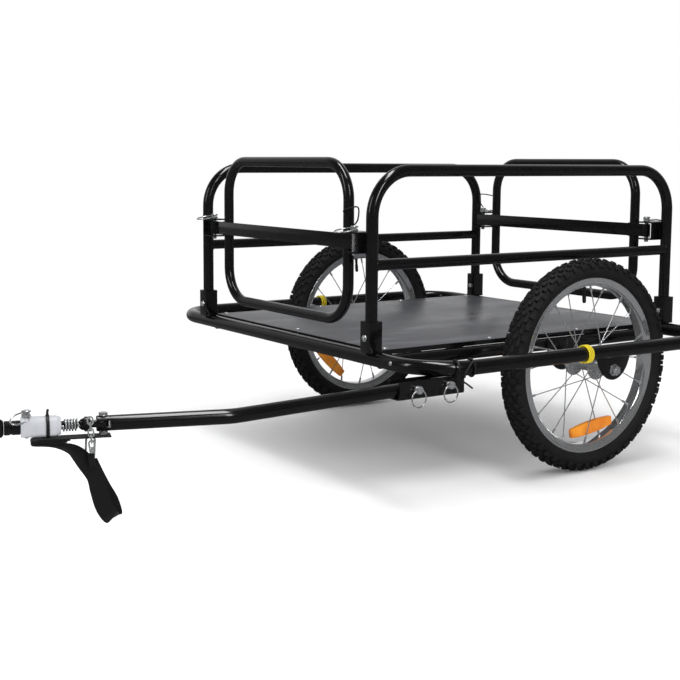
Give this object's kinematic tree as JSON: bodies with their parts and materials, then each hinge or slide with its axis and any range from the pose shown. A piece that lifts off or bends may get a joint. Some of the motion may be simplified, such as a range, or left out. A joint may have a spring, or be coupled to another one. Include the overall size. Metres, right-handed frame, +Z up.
{
  "type": "bicycle trailer",
  "caption": "Two-wheeled cargo trailer for a bicycle: a tube ring round the wheels, a flat bed, side hoops, swinging gates and a drawbar with a sprung hitch.",
  "frame": {"origin": "centre of the bounding box, on the ground under the wheels", "axes": "+X forward to the bicycle, +Y to the drawbar's side (the trailer's left), +Z up"},
  "size_m": [1.4311, 0.9166, 0.5714],
  "materials": {
    "black_coat": "gloss black powder coat",
    "bed_film": "film-faced board, satin grey",
    "zinc_steel": "bright zinc",
    "rim_metal": "polished",
    "tyre": "matte",
    "valve_rubber": "matte",
    "amber_lens": "gloss",
    "yellow_cord": "matte",
    "pale_sleeve": "satin",
    "webbing": "woven"
  },
  "bodies": {
    "frame": {"ring_frame": "black_coat", "bed_frame": "black_coat", "bed_panel": "bed_film", "hoop_left": "black_coat", "hoop_right": "black_coat", "drawbar": "black_coat", "drawbar_socket": "black_coat", "hitch_bolt": "zinc_steel", "post_bracket_front_left": "black_coat", "gate_bracket_front_left": "black_coat", "post_bolt_front_left": "zinc_steel", "bed_bolt_front_left": "zinc_steel", "post_bracket_front_right": "black_coat", "gate_bracket_front_right": "black_coat", "post_bolt_front_right": "zinc_steel", "bed_bolt_front_right": "zinc_steel", "post_bracket_rear_left": "black_coat", "gate_bracket_rear_left": "black_coat", "post_bolt_rear_left": "zinc_steel", "bed_bolt_rear_left": "zinc_steel", "post_bracket_rear_right": "black_coat", "gate_bracket_rear_right": "black_coat", "post_bolt_rear_right": "zinc_steel", "bed_bolt_rear_right": "zinc_steel", "inner_axle_plate_left": "black_coat", "outer_axle_plate_left": "black_coat", "axle_left": "zinc_steel", "yellow_band_left": "yellow_cord", "inner_axle_plate_right": "black_coat", "outer_axle_plate_right": "black_coat", "axle_right": "zinc_steel", "yellow_band_right": "yellow_cord"},
    "front_gate_leaf": {"front_gate": "black_coat"},
    "rear_gate_leaf": {"rear_gate": "black_coat"},
    "wheel_left": {"tyre_left": "tyre", "rim_left": "rim_metal", "hub_left": "zinc_steel", "valve_left": "valve_rubber", "reflector_left": "amber_lens"},
    "wheel_right": {"tyre_right": "tyre", "rim_right": "rim_metal", "hub_right": "zinc_steel", "valve_right": "valve_rubber", "reflector_right": "amber_lens"},
    "pin_front_left": {"gate_pin_front_left": "zinc_steel", "front_lanyard": "webbing"},
    "pin_front_right": {"gate_pin_front_right": "zinc_steel"},
    "pin_rear_left": {"gate_pin_rear_left": "zinc_steel"},
    "pin_rear_right": {"gate_pin_rear_right": "zinc_steel", "rear_lanyard": "webbing"},
    "drawbar_pin_front": {"lock_pin_front": "zinc_steel"},
    "drawbar_pin_rear": {"lock_pin_rear": "zinc_steel"},
    "swivel": {"hitch_tongue": "black_coat", "safety_strap": "webbing", "snap_hook": "zinc_steel"},
    "coupler": {"hitch_spring": "zinc_steel", "hitch_sleeve": "pale_sleeve", "coupler_stub": "black_coat", "coupler_plate": "black_coat"},
    "coupler_lock": {"coupler_pin": "zinc_steel"}
  },
  "joints": [
    {"name": "wheel_left_spin", "type": "hinge", "parent": "frame", "child": "wheel_left", "pos_m": [-0.39813, 0.36, 0.196], "axis": [0, 1, 0], "continuous": true},
    {"name": "wheel_right_spin", "type": "hinge", "parent": "frame", "child": "wheel_right", "pos_m": [-0.39813, -0.36, 0.196], "axis": [0, 1, 0], "continuous": true},
    {"name": "front_gate_swing", "type": "hinge", "parent": "frame", "child": "front_gate_leaf", "pos_m": [0.03937, -0.252, 0.4291], "axis": [0, 0, 1], "range_deg": [0, 90]},
    {"name": "rear_gate_swing", "type": "hinge", "parent": "frame", "child": "rear_gate_leaf", "pos_m": [-0.67063, 0.252, 0.4291], "axis": [0, 0, 1], "range_deg": [0, 90]},
    {"name": "gate_pin_front_left_pull", "type": "slide", "parent": "frame", "child": "pin_front_left", "axis": [0, 0, 1], "range_m": [0, 0.05]},
    {"name": "gate_pin_front_right_pull", "type": "slide", "parent": "frame", "child": "pin_front_right", "axis": [0, 0, 1], "range_m": [0, 0.05]},
    {"name": "gate_pin_rear_left_pull", "type": "slide", "parent": "frame", "child": "pin_rear_left", "axis": [0, 0, 1], "range_m": [0, 0.05]},
    {"name": "gate_pin_rear_right_pull", "type": "slide", "parent": "frame", "child": "pin_rear_right", "axis": [0, 0, 1], "range_m": [0, 0.05]},
    {"name": "drawbar_pin_front_pull", "type": "slide", "parent": "frame", "child": "drawbar_pin_front", "axis": [0, 1, 0], "range_m": [0, 0.05]},
    {"name": "drawbar_pin_rear_pull", "type": "slide", "parent": "frame", "child": "drawbar_pin_rear", "axis": [0, 1, 0], "range_m": [0, 0.05]},
    {"name": "hitch_swivel", "type": "hinge", "parent": "frame", "child": "swivel", "pos_m": [0.54886, 0.36314, 0.199], "axis": [0, 0, 1], "range_deg": [-30, 30]},
    {"name": "hitch_flex", "type": "hinge", "parent": "swivel", "child": "coupler", "pos_m": [0.57359, 0.35511, 0.199], "axis": [-0.309, -0.9511, 0], "range_deg": [0, 20]},
    {"name": "coupler_pin_pull", "type": "slide", "parent": "coupler", "child": "coupler_lock", "axis": [0, 0, 1], "range_m": [0, 0.035]}
  ]
}
